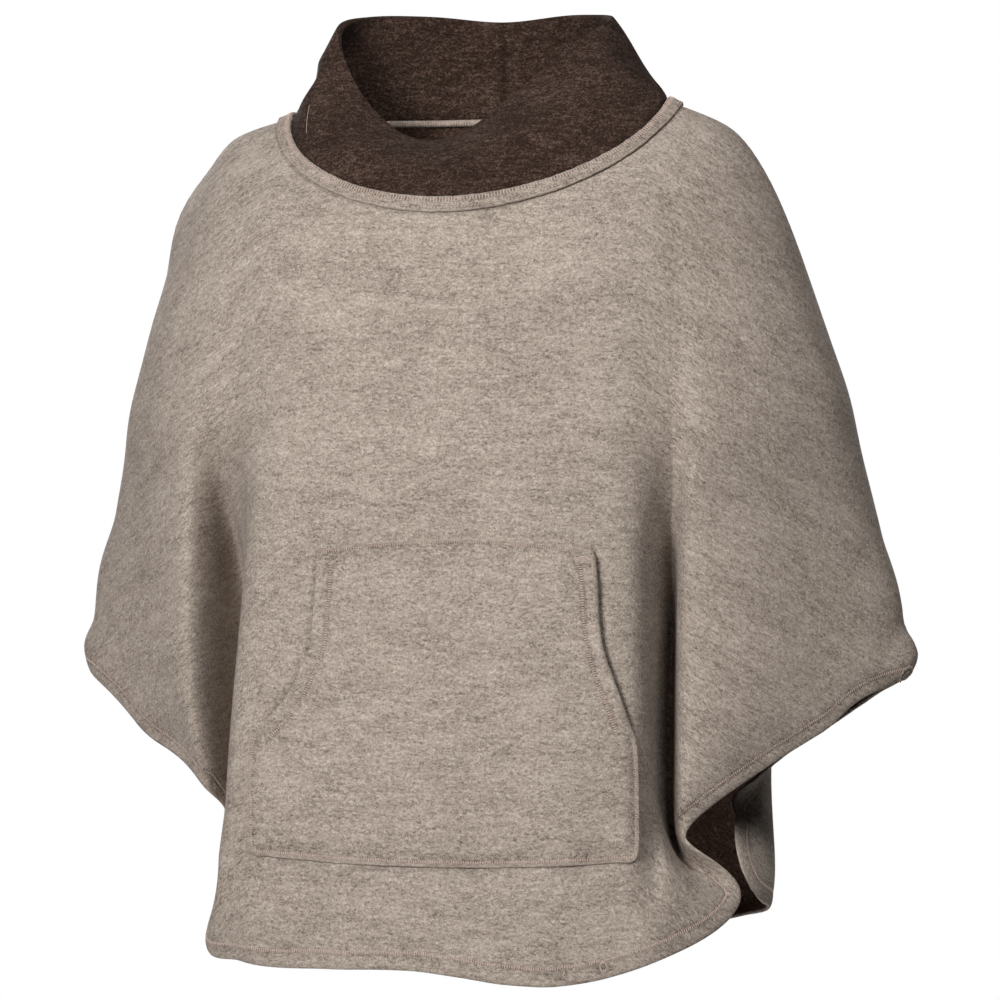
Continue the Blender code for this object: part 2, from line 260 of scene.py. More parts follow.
def knit_place(finish, sleeve_start=0.14, sleeve_slope=0.62):
    """Object coordinates whose height follows the knit rows, which fall along the sleeves."""
    place = finish.node("ShaderNodeTexCoord").outputs["Object"]
    parts = finish.node("ShaderNodeSeparateXYZ", values={0: place})
    across = finish.value(parts, 0)
    arm = (abs(across) - sleeve_start).at_least(0.0)
    row = finish.value(parts, 2) + arm * sleeve_slope
    joined = finish.node("ShaderNodeCombineXYZ", values={
        0: across, 1: finish.value(parts, 1), 2: row})
    return joined.outputs[0]


def heather(finish, place, dark, mid, pale, spread=1.0):
    """Wool of mixed fibres: curled fibres, short dashes along the rows and a soft mottle."""
    streaks = finish.noise(finish.stretched(place, STREAKS), 1.0, 2.0, 0.5, 0.3)
    dashes = finish.noise(finish.stretched(place, DASHES), 1.0, 2.0, 0.6, 0.8)
    curls = finish.noise(place, CURLS, 2.0, 0.7, 1.2)
    mottle = finish.noise(finish.stretched(place, MOTTLE), 1.0, 2.0, 0.5)
    layers = zip((streaks, dashes, curls, mottle), SHADE_SHARES)
    shade = sum((layer - 0.5) * share for layer, share in layers)
    # Painted shade where the points were pressed into dents
    pressed = finish.node("ShaderNodeAttribute", {"attribute_name": "pressed"})
    shade = shade * spread + 0.5 - finish.value(pressed, 2) * PAINTED_DENT_SHADE
    ramp = finish.node("ShaderNodeValToRGB", {"stops": (
        (DARK_AT, dark), (MID_AT, mid), (PALE_AT, pale))}, {"Fac": shade})
    relief = sum(layer * share for layer, share in zip((streaks, dashes, curls), RELIEF_SHARES))
    return ramp.outputs["Color"], relief


def nap(finish, relief, depth):
    """Raised fibres as a bump on the shader's normal."""
    bump = finish.node("ShaderNodeBump", values={
        "Height": relief, "Distance": depth, "Strength": 1.0})
    plug(finish.tree, bump.outputs["Normal"], finish.shader.inputs["Normal"])


def light_wool():
    """Brushed beige-grey heather of the outside."""
    finish = Finish("light_heather_wool")
    colour, relief = heather(finish, knit_place(finish), FIBRE_DARK, FIBRE_MID, FIBRE_PALE)
    plug(finish.tree, colour, finish.shader.inputs["Base Color"])
    nap(finish, relief, 1.1 * MM)
    finish.set(Roughness=0.95, Sheen_Weight=0.06, Sheen_Roughness=0.6, Specular_IOR_Level=0.10)
    return finish.material


def brown_wool(name, spread, painted_lift=1.0):
    """Brushed dark brown wool with a few pale hairs."""
    finish = Finish(name)
    place = knit_place(finish)
    # A lift above 1 lightens all three browns as painted light
    shades = [tuple(painted_lift * part for part in shade)
              for shade in (BROWN_DARK, BROWN_MID, BROWN_PALE)]
    colour, relief = heather(finish, place, *shades, spread)
    plug(finish.tree, colour, finish.shader.inputs["Base Color"])
    nap(finish, relief, 1.2 * MM)
    finish.set(Roughness=0.95, Sheen_Weight=0.02, Sheen_Roughness=0.6, Specular_IOR_Level=0.05)
    return finish.material


def cut_wool():
    """Cut edge, where both faces of the cloth show."""
    finish = Finish("cut_edge_wool")
    colour, relief = heather(finish, knit_place(finish), BROWN_PALE, FIBRE_MID, FIBRE_PALE, 0.8)
    plug(finish.tree, colour, finish.shader.inputs["Base Color"])
    nap(finish, relief, 1.0 * MM)
    finish.set(Roughness=0.95, Sheen_Weight=0.10, Sheen_Roughness=0.6, Specular_IOR_Level=0.12)
    return finish.material


def sewing_thread():
    """Matt pinkish thread, a little uneven along its length."""
    finish = Finish("pink_thread")
    place = finish.node("ShaderNodeTexCoord").outputs["Object"]
    shade = finish.noise(place, 900.0, 2.0)
    worn = tuple(0.55 * part for part in PINK_THREAD)
    ramp = finish.node("ShaderNodeValToRGB", {"stops": (
        (0.25, worn), (0.70, PINK_THREAD))}, {"Fac": shade})
    plug(finish.tree, ramp.outputs["Color"], finish.shader.inputs["Base Color"])
    nap(finish, shade, 0.3 * MM)
    finish.set(Roughness=0.75, Sheen_Weight=0.2, Specular_IOR_Level=0.25)
    return finish.material


def only(piece):
    """Selects one object alone."""
    bpy.ops.object.select_all(action="DESELECT")
    piece.select_set(True)
    bpy.context.view_layer.objects.active = piece


def cloth_copy(node, name):
    """A copy of a solid of the frame, with its loose triangles merged back into quads."""
    piece = bpy.data.objects.new(name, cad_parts[node].data.copy())
    bpy.context.scene.collection.objects.link(piece)
    piece.data.materials.clear()
    only(piece)
    bpy.ops.object.mode_set(mode="EDIT")
    bpy.ops.mesh.select_all(action="SELECT")
    bpy.ops.mesh.remove_doubles(threshold=WELD)
    bpy.ops.mesh.tris_convert_to_quads(
        face_threshold=QUAD_BEND, shape_threshold=QUAD_BEND, topology_influence=QUAD_ORDER)
    bpy.ops.object.mode_set(mode="OBJECT")
    if piece.data.has_custom_normals:
        bpy.ops.mesh.customdata_custom_splitnormals_clear()
    bpy.ops.object.shade_smooth()
    return piece


def neighbours(mesh):
    """Faces that meet each face over an edge that turns less than a cut edge does."""
    pairs = {}
    for face in mesh.polygons:
        for edge in face.edge_keys:
            pairs.setdefault(edge, []).append(face.index)
    beside = [[] for _ in mesh.polygons]
    for faces in pairs.values():
        if len(faces) == 2:
            first, second = (mesh.polygons[index] for index in faces)
            if first.normal.angle(second.normal, math.pi) < SIDE_TURN:
                beside[first.index].append(second.index)
                beside[second.index].append(first.index)
    return beside


def mark_sides(piece, facing):
    """Gives the faces of a cloth wall to its outside, its inside or its cut edge."""
    mesh = piece.data
    beside = neighbours(mesh)
    facing = Vector(facing)
    seed = max(mesh.polygons, key=lambda face: face.normal.dot(facing) + face.center.dot(facing))
    tree = BVHTree.FromPolygons([v.co for v in mesh.vertices],
                                [tuple(face.vertices) for face in mesh.polygons])
    behind = tree.ray_cast(seed.center - seed.normal * 0.1 * MM, -seed.normal)[2]
    sides = [CUT_EDGE] * len(mesh.polygons)
    for start, side in ((seed.index, OUTSIDE), (behind, INSIDE)):
        waiting = [start]
        sides[start] = side
        while waiting:
            for other in beside[waiting.pop()]:
                if sides[other] == CUT_EDGE:
                    sides[other] = side
                    waiting.append(other)
    mesh.polygons.foreach_set("material_index", sides)


def points_of(mesh):
    """The points of a mesh as an array."""
    points = np.empty(len(mesh.vertices) * 3)
    mesh.vertices.foreach_get("co", points)
    return points.reshape(-1, 3)


def put_points(mesh, points):
    """Moves the points of a mesh."""
    mesh.vertices.foreach_set("co", points.ravel())
    mesh.update()


def smoothed(piece, levels):
    """Adds smooth finer cloth over the quads of a piece."""
    modifier = piece.modifiers.new("cloth", "SUBSURF")
    modifier.levels = levels
    modifier.render_levels = levels
    return modifier


def refine(piece, levels):
    """Finer cloth that still passes through the points of the solid."""
    wanted = points_of(piece.data)
    cage = wanted.copy()
    modifier = smoothed(piece, 1)
    for _ in range(HOLD_ROUNDS):
        fine = piece.evaluated_get(bpy.context.evaluated_depsgraph_get())
        reached = points_of(fine.data)[:len(wanted)]
        cage += HOLD_SHARE * (wanted - reached)
        put_points(piece.data, cage)
    piece.modifiers.remove(modifier)
    modifier = smoothed(piece, levels)
    only(piece)
    bpy.ops.object.modifier_apply(modifier=modifier.name)


def fray(piece):
    """A raw edge that stands in and out a little along its run."""
    mesh = piece.data
    points = points_of(mesh)
    ways = np.zeros_like(points)
    for face in mesh.polygons:
        if face.material_index == CUT_EDGE:
            for corner in face.vertices:
                ways[corner] += face.normal
    lengths = np.linalg.norm(ways, axis=1)
    for index in np.flatnonzero(lengths > FRAY_LEAST):
        swing = noise.noise(Vector(points[index]) / FRAY_PITCH)
        points[index] += ways[index] / lengths[index] * FRAY * swing
    put_points(mesh, points)


def press(piece, lines, depth, reach, shade=1.0):
    """Presses lines into the outside of a cloth piece and marks how deep each point went, which the
    wool shows as painted shade.
    """
    mesh = piece.data
    points = points_of(mesh)
    outer = np.zeros(len(points), bool)
    for face in mesh.polygons:
        if face.material_index == OUTSIDE:
            outer[list(face.vertices)] = True
    if "pressed" not in mesh.attributes:
        mesh.attributes.new("pressed", "FLOAT", "POINT")
    marks = np.zeros(len(points))
    mesh.attributes["pressed"].data.foreach_get("value", marks)
    dents = KDTree(sum(len(line) for line, _ in lines))
    places = [(place, normal) for line, normals in lines for place, normal in zip(line, normals)]
    for index, (place, _) in enumerate(places):
        dents.insert(place, index)
    dents.balance()
    for index in np.flatnonzero(outer):
        _, nearest, gap = dents.find(points[index])
        if gap < 3 * reach:
            share = math.exp(-(gap / reach) ** 2)
            points[index] -= places[nearest][1] * depth * share
            marks[index] = max(marks[index], share * shade)
    mesh.attributes["pressed"].data.foreach_set("value", marks)
    put_points(mesh, points)


class Sheet:
    """One side of a finished cloth piece, with its edges."""

    def __init__(self, piece, side):
        mesh = piece.data
        faces = [face for face in mesh.polygons if face.material_index == side]
        self.points = points_of(mesh)
        self.tree = BVHTree.FromPolygons([Vector(point) for point in self.points],
                                         [tuple(face.vertices) for face in faces])
        self.loops = self.find_loops(faces)

    def find_loops(self, faces):
        """Closed runs of points along the sheet's open edges, longest first."""
        uses = {}
        for face in faces:
            for edge in face.edge_keys:
                uses[edge] = uses.get(edge, 0) + 1
        beside = {}
        for (first, second), count in uses.items():
            if count == 1:
                beside.setdefault(first, []).append(second)
                beside.setdefault(second, []).append(first)
        loops = []
        while beside:
            here = next(iter(beside))
            loop = []
            while here in beside:
                loop.append(here)
                following = beside.pop(here)
                here = next((other for other in following if other in beside), None)
            loops.append(self.points[loop])
        return sorted(loops, key=len, reverse=True)

    def run(self, start, end, by, loop=0):
        """The part of an edge from near one place to near another, past a third."""
        points = self.loops[loop]

        def nearest(place):
            return int(np.argmin(np.linalg.norm(points - np.array(place), axis=1)))

        first, last, middle = nearest(start), nearest(end), nearest(by)
        count = len(points)
        forward = (last - first) % count
        if (middle - first) % count <= forward:
            order = (first + np.arange(forward + 1)) % count
        else:
            order = (first - np.arange(count - forward + 1)) % count
        return points[order]

    def settle(self, points):
        """Each point moved onto the sheet, and the sheet's normal there."""
        places, normals = [], []
        for point in points:
            place, normal, _, _ = self.tree.find_nearest(Vector(point))
            places.append(place)
            normals.append(normal)
        return np.array(places), np.array(normals)

    def inset(self, run, distance, closed=False, trim=0.0):
        """A line on the sheet at a distance inside one of its edges, walked inwards."""
        line = evenly(run, PATH_STEP, closed)
        for _ in range(EDGE_EASES):
            line = eased(line, EASE_REACH, closed)
        edge = KDTree(len(line))
        for index, point in enumerate(line):
            edge.insert(point, index)
        edge.balance()
        line, normals = self.settle(line)

        def walked(line, normals, lengths):
            return self.settle(line + np.cross(normals, along(line, closed)) * lengths)

        reach = [np.linalg.norm(walked(line, normals, sign * TEST_WALK)[0] - line, axis=1).mean()
                 for sign in (1, -1)]
        sign = 1 if reach[0] > reach[1] else -1
        for _ in range(WALKS):
            gaps = np.array([distance - edge.find(point)[2] for point in line])
            steps = eased(np.clip(gaps, -WALK, WALK)[:, None] * np.ones(3), 3, closed)
            line, normals = walked(line, normals, sign * steps)
            line, normals = self.settle(eased(line, 2, closed))
        keep = int(trim / PATH_STEP)
        if keep:
            line, normals = line[keep:-keep], normals[keep:-keep]
        return line, normals


def evenly(points, step, closed=False):
    """Points a step apart along a line."""
    points = np.asarray(points, float)
    if closed:
        points = np.vstack([points, points[:1]])
    lengths = np.linalg.norm(np.diff(points, axis=0), axis=1)
    reach = np.concatenate([[0], np.cumsum(lengths)])
    count = max(int(reach[-1] / step), 2)
    at = np.linspace(0, reach[-1], count + 1)
    if closed:
        at = at[:-1]
    return np.column_stack([np.interp(at, reach, points[:, axis]) for axis in range(3)])


def eased(points, reach, closed=False):
    """A line smoothed over a few neighbours each way, with its ends held."""
    window = np.hanning(2 * reach + 3)[1:-1]
    window /= window.sum()
    mode = "wrap" if closed else "edge"
    padded = np.pad(points, ((reach, reach), (0, 0)), mode=mode)
    smooth = np.column_stack([np.convolve(padded[:, axis], window, "valid") for axis in range(3)])
    if not closed:
        smooth[0], smooth[-1] = points[0], points[-1]
    return smooth


def along(points, closed=False):
    """Unit tangents of a line."""
    if closed:
        steps = np.roll(points, -1, axis=0) - np.roll(points, 1, axis=0)
    else:
        steps = np.gradient(points, axis=0)
    return steps / np.maximum(np.linalg.norm(steps, axis=1, keepdims=True), 1e-12)


def one_stitch():
    """A short rounded bar of thread along X, of unit length and width."""
    bpy.ops.object.select_all(action="DESELECT")
    bpy.ops.mesh.primitive_uv_sphere_add(segments=6, ring_count=4, radius=0.5)
    stitch = bpy.context.object
    bpy.ops.object.mode_set(mode="EDIT")
    bpy.ops.mesh.select_all(action="SELECT")
    bpy.ops.transform.rotate(value=math.pi / 2, orient_axis="Y", center_override=(0, 0, 0))
    bpy.ops.object.mode_set(mode="OBJECT")
    points = points_of(stitch.data)
    # Blender gives a sphere's faces in an order that changes from run to run
    faces = sorted(tuple(face.vertices) for face in stitch.data.polygons)
    bpy.data.objects.remove(stitch)
    return points, faces


STITCH = one_stitch()


def sew(name, lines, pitch=STITCH_PITCH, length=STITCH_LENGTH, turn=ALONG, width=THREAD,
        closed=False):
    """Stitches laid on lines of the cloth, each turned away from its line."""
    shape, faces = STITCH
    points, polygons = [], []
    rng = np.random.default_rng(SEED)
    for line, normals in lines:
        tangents = along(line, closed)
        skip = max(int(round(pitch / PATH_STEP * STEP_PARTS)), 1)
        fine = evenly(line, PATH_STEP / STEP_PARTS, closed)
        share = np.linspace(0, len(line) - 1, len(fine))
        low = np.minimum(share.astype(int), len(line) - 1)
        for index in range(0, len(fine), skip):
            tangent = Vector(tangents[low[index]])
            normal = Vector(normals[low[index]])
            cross = normal.cross(tangent).normalized()
            way = tangent * math.cos(turn) + cross * math.sin(turn)
            beside = normal.cross(way).normalized()
            size = length * rng.uniform(*LENGTH_SPREAD)
            centre = Vector(fine[index]) + normal * width * THREAD_LIFT
            basis = np.array([way * size, beside * width, normal * width])
            start = len(points) * len(shape)
            points.append(shape @ basis + np.array(centre))
            polygons += [tuple(corner + start for corner in face) for face in faces]
    mesh = bpy.data.meshes.new(name)
    mesh.from_pydata(np.vstack(points), [], polygons)
    mesh.materials.append(THREAD_FINISH)
    mesh.shade_smooth()
    piece = bpy.data.objects.new(name, mesh)
    bpy.context.scene.collection.objects.link(piece)
    only(piece)
    bpy.ops.object.mode_set(mode="EDIT")
    bpy.ops.mesh.select_all(action="SELECT")
    bpy.ops.mesh.normals_make_consistent(inside=False)
    bpy.ops.object.mode_set(mode="OBJECT")
    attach(piece, "root")
    return piece


def soft_creases(points, rows):
    """Uneven troughs and ridges, pressed into both faces of the wall alike."""
    moved = points.copy()
    for centre, reach, tilt, depth, start, end, way in rows:
        across = points[:, 0] - centre - tilt * (points[:, 2] - start)
        ridge = np.exp(-((across - RIDGE_AWAY * reach) / reach) ** 2)
        profile = np.exp(-(across / reach) ** 2) - RIDGE_SHARE * ridge
        fall = np.clip((start - points[:, 2]) / (start - end), 0, 1)
        fall = fall * fall * (3 - 2 * fall)
        uneven = 1 + UNEVEN * np.sin(points[:, 2] * UNEVEN_RATE + centre * UNEVEN_START)
        facing = np.clip(points[:, 1] * way / SIDE_FADE, 0, 1)
        moved[:, 1] -= way * depth * profile * fall * uneven * facing
    return moved


# Soft folds: x in metres, half width, lean, depth, where it starts, where it is deepest, side
FRONT_CREASES = (
    (-0.088, 0.016, 0.05, 2.2 * MM, -0.40, -0.62, -1),
    (0.056, 0.015, -0.04, 2.4 * MM, -0.44, -0.62, -1),
    (-0.02, 0.022, 0.02, 1.2 * MM, -0.50, -0.63, -1),
    (0.098, 0.014, -0.10, 1.6 * MM, -0.30, -0.60, -1),
)
BACK_CREASES = (
    (-0.125, 0.020, 0.10, 12.0 * MM, -0.14, -0.60, 1),
    (0.045, 0.023, -0.05, 9.0 * MM, -0.12, -0.62, 1),
    (0.150, 0.018, -0.16, 11.0 * MM, -0.18, -0.56, 1),
    (-0.040, 0.017, 0.04, 6.0 * MM, -0.34, -0.62, 1),
)


# Deep valleys between body and sleeve: x at the floor, half width, depth and the heights where
# it starts, is deepest from, is deepest to and ends
VALLEYS = (
    (-0.183, 12 * MM, 62 * MM, (-0.21, -0.36, -0.51, -0.555)),
    (0.154, 8 * MM, 16 * MM, (-0.26, -0.36, -0.52, -0.60)),
)


def deepen(points):
    """Valleys pushed deeper behind the front, in both faces of the wall alike."""
    moved = points.copy()
    for floor, reach, depth, heights in VALLEYS:
        profile = np.exp(-((points[:, 0] - floor) / reach) ** 2)
        fall = np.interp(-points[:, 2], [-height for height in heights], (0.0, 1.0, 1.0, 0.0))
        moved[:, 1] += depth * profile * fall * fall * (3 - 2 * fall)
    return moved


# Corners and edges of the cloth that hang a little differently: place, shift and reach
PULLS = (
    ((-0.322, 0.038, -0.412), (-2 * MM, 0, 4 * MM), 30 * MM),
    ((-0.297, 0.010, -0.442), (4 * MM, 0, 8 * MM), 75 * MM),
    ((-0.215, -0.048, -0.498), (6 * MM, 0, 6 * MM), 70 * MM),
    ((-0.262, 0.030, -0.200), (4 * MM, 0, 0), 60 * MM),
    ((-0.300, 0.030, -0.345), (-5 * MM, 0, 0), 45 * MM),
    ((0.318, 0.038, -0.412), (7 * MM, 0, 4 * MM), 32 * MM),
    ((0.284, 0.020, -0.446), (-5 * MM, 0, 8 * MM), 45 * MM),
    ((0.305, 0.030, -0.360), (4 * MM, 0, 0), 45 * MM),
    ((-0.235, 0.020, -0.080), (-7 * MM, 0, 3 * MM), 55 * MM),
    ((-0.185, -0.080, -0.565), (12 * MM, 0, 0), 50 * MM),
    ((-0.182, -0.092, -0.622), (-4 * MM, 0, -7 * MM), 38 * MM),
    ((0.197, 0.018, -0.515), (-7 * MM, 0, 0), 24 * MM),
    ((-0.135, 0.000, 0.018), (9 * MM, 0, 0), 26 * MM),
    ((0.118, 0.010, 0.045), (-5 * MM, 0, -3 * MM), 36 * MM),
    ((0.060, 0.020, 0.079), (0, 0, -3 * MM), 45 * MM),
)


def pull_corners(points):
    """Places of the cloth drawn aside, less and less with the distance from them."""
    moved = points.copy()
    for place, shift, reach in PULLS:
        gaps = np.linalg.norm(points - np.array(place), axis=1)
        share = np.clip(1 - (gaps / reach) ** 2, 0, 1) ** 2
        moved += share[:, None] * np.array(shift)
    return moved


# Where the front hem rises: x, half width and height, then from which height on and how fast
HEM_RISES = (
    (-0.075, 0.045, 4 * MM),
    (-0.008, 0.055, 8 * MM),
)
RISE_BELOW, RISE_FADE = -0.56, 0.08

# Waver of the hem: depth, from which height on and how fast, and share, rate and start of each
WAVER = 0.9 * MM
WAVER_BELOW, WAVER_FADE = -0.46, 0.16
WAVERS = ((1.0, 95, 1.3), (0.6, 171, 0.4))


def hem_waves(points):
    """A slight waver of the cloth towards its hem, which rises a little in front."""
    moved = points.copy()
    near_hem = np.clip((RISE_BELOW - points[:, 2]) / RISE_FADE, 0, 1) * (points[:, 1] < 0)
    for place, reach, height in HEM_RISES:
        moved[:, 2] += height * np.exp(-((points[:, 0] - place) / reach) ** 2) * near_hem
    low = np.clip((WAVER_BELOW - points[:, 2]) / WAVER_FADE, 0, 1)
    waver = sum(share * np.sin(points[:, 0] * rate + start) for share, rate, start in WAVERS)
    moved[:, 1] += WAVER * waver * low * np.sign(points[:, 1])
    return moved


THREAD_FINISH = sewing_thread()
LIGHT = light_wool()
# The inside's brown is the collar's, painted lighter as painted light
BROWN = brown_wool("brown_inside_wool_painted_light", 0.75, INSIDE_PAINTED_LIGHT)
COLLAR_BROWN = brown_wool("brown_collar_wool", 1.0)
CUT = cut_wool()


def make_wall(node, name, facing, levels, shape):
    """A finished cloth piece on the form of its solid, light outside and brown inside."""
    piece = cloth_copy(node, name)
    mark_sides(piece, facing)
    refine(piece, levels)
    put_points(piece.data, shape(points_of(piece.data)))
    fray(piece)
    for finish in (LIGHT, BROWN, CUT):
        piece.data.materials.append(finish)
    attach(piece, "root")
    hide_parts(node)
    return piece


front = make_wall("front", "front_cloth", (0, -1, 0), 2,
                  lambda points: pull_corners(hem_waves(soft_creases(
                      deepen(points), FRONT_CREASES))))
back = make_wall("back", "back_cloth", (0, 1, 0), 2,
                 lambda points: pull_corners(hem_waves(soft_creases(points, BACK_CREASES))))
neck_band = make_wall("neck_band", "neck_band_cloth", (0, -1, 0), 2, lambda points: points)
pocket = make_wall("pocket", "pocket_cloth", (0, -1, 0), 2,
                   lambda points: soft_creases(points, FRONT_CREASES))


def make_collar():
    """Doubled collar, brown on both faces."""
    piece = cloth_copy("collar", "collar_cloth")
    refine(piece, 2)
    put_points(piece.data, pull_corners(points_of(piece.data)))
    piece.data.materials.append(COLLAR_BROWN)
    for face in piece.data.polygons:
        face.material_index = OUTSIDE
    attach(piece, "root")
    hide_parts("collar")
    return piece


collar = make_collar()


def surface_line(piece, starts, way):
    """Places and normals where straight lines one way first meet a piece."""
    tree = BVHTree.FromPolygons([v.co for v in piece.data.vertices],
                                [tuple(face.vertices) for face in piece.data.polygons])
    hits = [tree.ray_cast(Vector(start), Vector(way)) for start in starts]
    found = [(place, normal) for place, normal, _, _ in hits if place is not None]
    return np.array([place for place, _ in found]), np.array([normal for _, normal in found])


def seam_collar():
    """Centre-back seam pressed into both faces of the collar, and a stitched end at its side."""
    heights = np.arange(*COLLAR_SEAM, PATH_STEP)
    inner = surface_line(collar, [(0, 0, height) for height in heights], (0, 1, 0))
    outer = surface_line(collar, [(0, 0.3, height) for height in heights], (0, -1, 0))
    # The groove of the seam is darkened with painted shade
    press(collar, [inner, outer], *COLLAR_DENT)
    side = Sheet(collar, OUTSIDE).settle(evenly(SIDE_SEAM, PATH_STEP))
    return sew("collar_side_stitches", [side], pitch=2.0 * MM, length=2.1 * MM, width=0.45 * MM)


collar_side = seam_collar()


def rope(name, line, across, up, width, height, finish):
    """A closed soft cord of cloth along a closed line."""
    corners = [2 * math.pi * index / ROPE_SIDES for index in range(ROPE_SIDES)]
    rings = [line + across * width * math.cos(turn) + up * height * math.sin(turn)
             for turn in corners]
    points = np.stack(rings, axis=1).reshape(-1, 3)
    count = len(line)
    faces = []
    for ring in range(count):
        here, there = ring * ROPE_SIDES, (ring + 1) % count * ROPE_SIDES
        for side in range(ROPE_SIDES):
            beside = (side + 1) % ROPE_SIDES
            faces.append((here + side, here + beside, there + beside, there + side))
    mesh = bpy.data.meshes.new(name)
    mesh.from_pydata(points, [], faces)
    mesh.materials.append(finish)
    mesh.shade_smooth()
    piece = bpy.data.objects.new(name, mesh)
    bpy.context.scene.collection.objects.link(piece)
    only(piece)
    bpy.ops.object.mode_set(mode="EDIT")
    bpy.ops.mesh.select_all(action="SELECT")
    bpy.ops.mesh.normals_make_consistent(inside=False)
    bpy.ops.object.mode_set(mode="OBJECT")
    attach(piece, "root")
    return piece


def seam_neck_inside():
    """Overlocked seam allowance that shows inside the neck, below the collar."""
    points = points_of(collar.data)
    turns = np.arctan2(points[:, 0], points[:, 1])
    ring = []
    for turn in np.linspace(-math.pi, math.pi, NECK_TURNS, endpoint=False):
        gaps = np.abs((turns - turn + math.pi) % (2 * math.pi) - math.pi)
        near = points[gaps < NECK_SLICE]
        foot = near[near[:, 2] < near[:, 2].min() + 3 * MM]
        radius = np.hypot(foot[:, 0], foot[:, 1]).min()
        ring.append((radius * math.sin(turn), radius * math.cos(turn), foot[:, 2].min()))
    line = evenly(ring, PATH_STEP, closed=True)
    for _ in range(NECK_EASES):
        line = eased(line, EASE_REACH, closed=True)
    outward = line * (1, 1, 0)
    outward /= np.linalg.norm(outward, axis=1, keepdims=True)
    up = np.zeros_like(line) + (0, 0, 1)
    line = line - outward * 0.2 * MM - up * 1.2 * MM
    rope("neck_inside_seam", line, outward, up, 1.5 * MM, 2.6 * MM, LIGHT)
    sew("neck_inside_stitches", [(line - outward * 1.5 * MM, -outward)], pitch=1.9 * MM,
        length=4.2 * MM, turn=ACROSS, width=0.7 * MM, closed=True)


seam_neck_inside()


def mirrored(place):
    """The same place on the wearer's other side."""
    return (-place[0], place[1], place[2])


def mirrored_depth(place):
    """The same place on the other face of the garment."""
    return (place[0], -place[1], place[2])


def sew_hem(piece, name):
    """Cover stitch inside the hem, from one sleeve corner to the other."""
    sheet = Sheet(piece, OUTSIDE)
    past = mirrored_depth(HEM_MIDDLE) if piece is back else HEM_MIDDLE
    run = sheet.run(mirrored(SLEEVE_CORNER), SLEEVE_CORNER, past)
    # Painted shade in the hem's stitched groove, with nap flattened by the thread
    press(piece, [sheet.inset(run, HEM_INSET, trim=HEM_TRIM)], *STITCH_DENT)
    sheet = Sheet(piece, OUTSIDE)
    return sew(name, [sheet.inset(run, HEM_INSET, trim=HEM_TRIM)], turn=ACROSS)


front_hem = sew_hem(front, "front_hem_stitches")
back_hem = sew_hem(back, "back_hem_stitches")


def sew_neck():
    """Comb of overlock stitches on the band's upper edge, and a stitched row at its lower one."""
    sheet = Sheet(neck_band, OUTSIDE)
    upper, lower = sorted(sheet.loops[:2], key=lambda loop: np.ptp(loop[:, 0]))
    # Painted shade in the grooves of both rows, with nap flattened by the thread
    press(neck_band, [sheet.inset(lower, ROW_INSET, closed=True)], *ROW_DENT)
    press(neck_band, [sheet.inset(upper, COMB_INSET, closed=True)], *COMB_DENT)
    sheet = Sheet(neck_band, OUTSIDE)
    comb = sheet.inset(upper, COMB_INSET, closed=True)
    row = sheet.inset(lower, ROW_INSET, closed=True)
    first = sew("neck_band_comb", [comb], pitch=2.3 * MM, length=4.6 * MM, width=0.8 * MM,
                turn=ACROSS, closed=True)
    second = sew("neck_band_row", [row], pitch=2.4 * MM, length=1.9 * MM, closed=True)
    return first, second


neck_comb, neck_row = sew_neck()


def sew_pocket():
    """Stitched lines round the pocket, and a line inside each slanted mouth."""
    sheet = Sheet(pocket, OUTSIDE)
    low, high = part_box("pocket")
    top_right, top_left = ((across, low.y, high.z) for across in POCKET_TOP)
    mouth_right, mouth_left = ((across, low.y, MOUTH_FOOT) for across in POCKET_MOUTHS)
    foot_right = (low.x, low.y, low.z)
    foot_left = (high.x, low.y, low.z)
    middle = (low.x + high.x) / 2
    top = sheet.run(top_right, top_left, (middle, low.y, high.z))
    foot = sheet.run(mouth_right, mouth_left, (middle, low.y, low.z))
    mouths, rims = [], []
    for top_corner, mouth_corner, foot_corner in (
            (top_right, mouth_right, foot_right), (top_left, mouth_left, foot_left)):
        half = tuple((a + b) / 2 for a, b in zip(top_corner, mouth_corner))
        mouth = sheet.run(top_corner, mouth_corner, half)
        mouths.append((mouth, HEM_INSET))
        rims.append(sheet.inset(mouth, RIM_INSET, trim=RIM_TRIM))
    # Painted shade along the stitched top and foot, with nap flattened by the thread
    press(pocket, [sheet.inset(run, EDGE_INSET) for run in (top, foot)], *EDGE_DENT)
    for rim, rise in zip(rims, RIM_RISES):
        press(pocket, [rim], -rise, RIM_REACH, 0.0)
    below = Sheet(front, OUTSIDE)
    gaps = [below.settle(evenly(mouth, PATH_STEP)[GAP_TRIM:-GAP_TRIM]) for mouth, _ in mouths]
    # A groove beside each mouth, darkened with painted shade of the gap
    press(front, gaps, *GAP_DENT)
    centre = np.array((low + high) / 2)
    spread = 1 + SWELL_AWAY / (np.array(high - low) / 2) * (1, 0, 1)
    beside = below.settle(centre + (evenly(foot, PATH_STEP) - centre) * spread)
    press(front, [beside], -SWELL_RISE, SWELL_REACH, 0.0)
    # Painted shade along the stitched lines of the mouths, with nap flattened by the thread
    press(pocket, [sheet.inset(*mouth, trim=MOUTH_TRIM) for mouth in mouths], *STITCH_DENT)
    sheet = Sheet(pocket, OUTSIDE)
    seams = sew("pocket_seams", [sheet.inset(run, SEAM_INSET) for run in (top, foot)],
                length=2.6 * MM, turn=ACROSS)
    edges = sew("pocket_mouths", [sheet.inset(*mouth, trim=MOUTH_TRIM) for mouth in mouths],
                turn=ACROSS)
    return seams, edges


pocket_seams, pocket_mouths = sew_pocket()


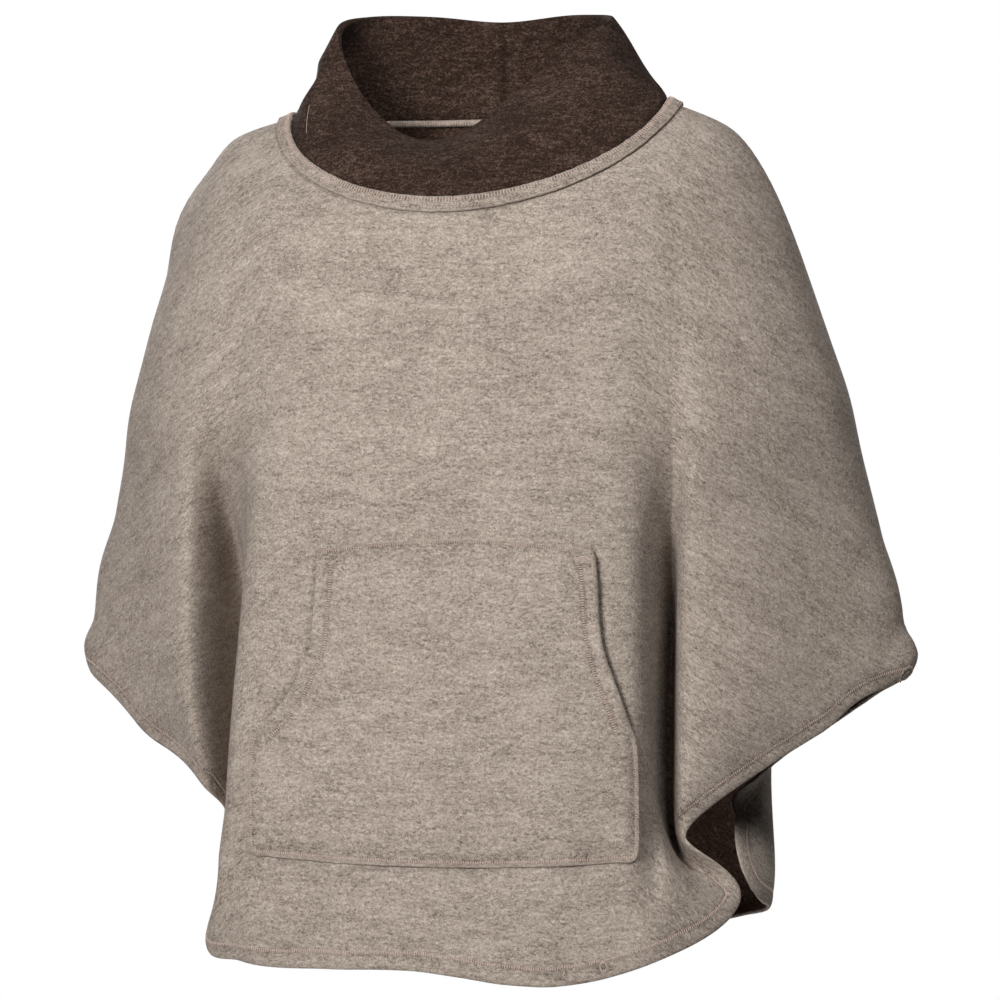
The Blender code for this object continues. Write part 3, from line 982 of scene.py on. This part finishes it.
def studio():
    """Pale floor below the view, white surroundings, two soft lights in front and two behind."""
    bpy.ops.object.select_all(action="DESELECT")
    bpy.ops.mesh.primitive_circle_add(vertices=64, radius=1.1, fill_type="NGON",
                                      location=(0, 0, FLOOR))
    floor = bpy.context.object
    floor.name = "floor"
    paint = Finish("pale_floor")
    paint.set(Base_Color=(0.86, 0.86, 0.86, 1), Roughness=0.9)
    floor.data.materials.append(paint.material)

    world = bpy.data.worlds.new("studio")
    bpy.context.scene.world = world
    world.use_nodes = True
    sky = world.node_tree.nodes["Background"]
    sky.inputs["Color"].default_value = (1, 1, 1, 1)
    seen = Value(world.node_tree, world.node_tree.nodes.new("ShaderNodeLightPath").outputs[0])
    plug(world.node_tree, seen * (1 - SURROUND) + SURROUND, sky.inputs["Strength"])

    for name, place, size, power in (
            ("key_light", (-0.72, -2.82, 0.36), 0.9, 86),
            ("fill_light", (1.20, -1.48, 2.10), 0.9, 44),
            ("back_light_right", (-1.70, 2.50, 0.70), 0.9, 70),
            ("back_light_left", (0.60, 2.95, 0.20), 0.9, 24)):
        lamp = bpy.data.lights.new(name, "AREA")
        lamp.size = size
        lamp.energy = power
        holder = bpy.data.objects.new(name, lamp)
        holder.location = place
        aim = Vector((0, 0, -0.3)) - Vector(place)
        holder.rotation_euler = aim.to_track_quat("-Z", "Y").to_euler()
        bpy.context.scene.collection.objects.link(holder)


def camera():
    """The photograph's view: level, from a little to the wearer's left of the front."""
    lens = bpy.data.cameras.new("camera")
    lens.sensor_width = SENSOR
    lens.lens = SENSOR * VIEW_DISTANCE / VIEW_WIDTH
    lens.clip_end = 20
    eye = bpy.data.objects.new("camera", lens)
    turned = Matrix.Rotation(VIEW_TURN, 4, "Z")
    eye.location = turned @ Vector((VIEW_ASIDE, -VIEW_DISTANCE, VIEW_HEIGHT))
    eye.rotation_euler = (math.pi / 2, 0, VIEW_TURN)
    bpy.context.scene.collection.objects.link(eye)
    bpy.context.scene.camera = eye


studio()
camera()
bpy.context.scene.view_settings.view_transform = "Standard"
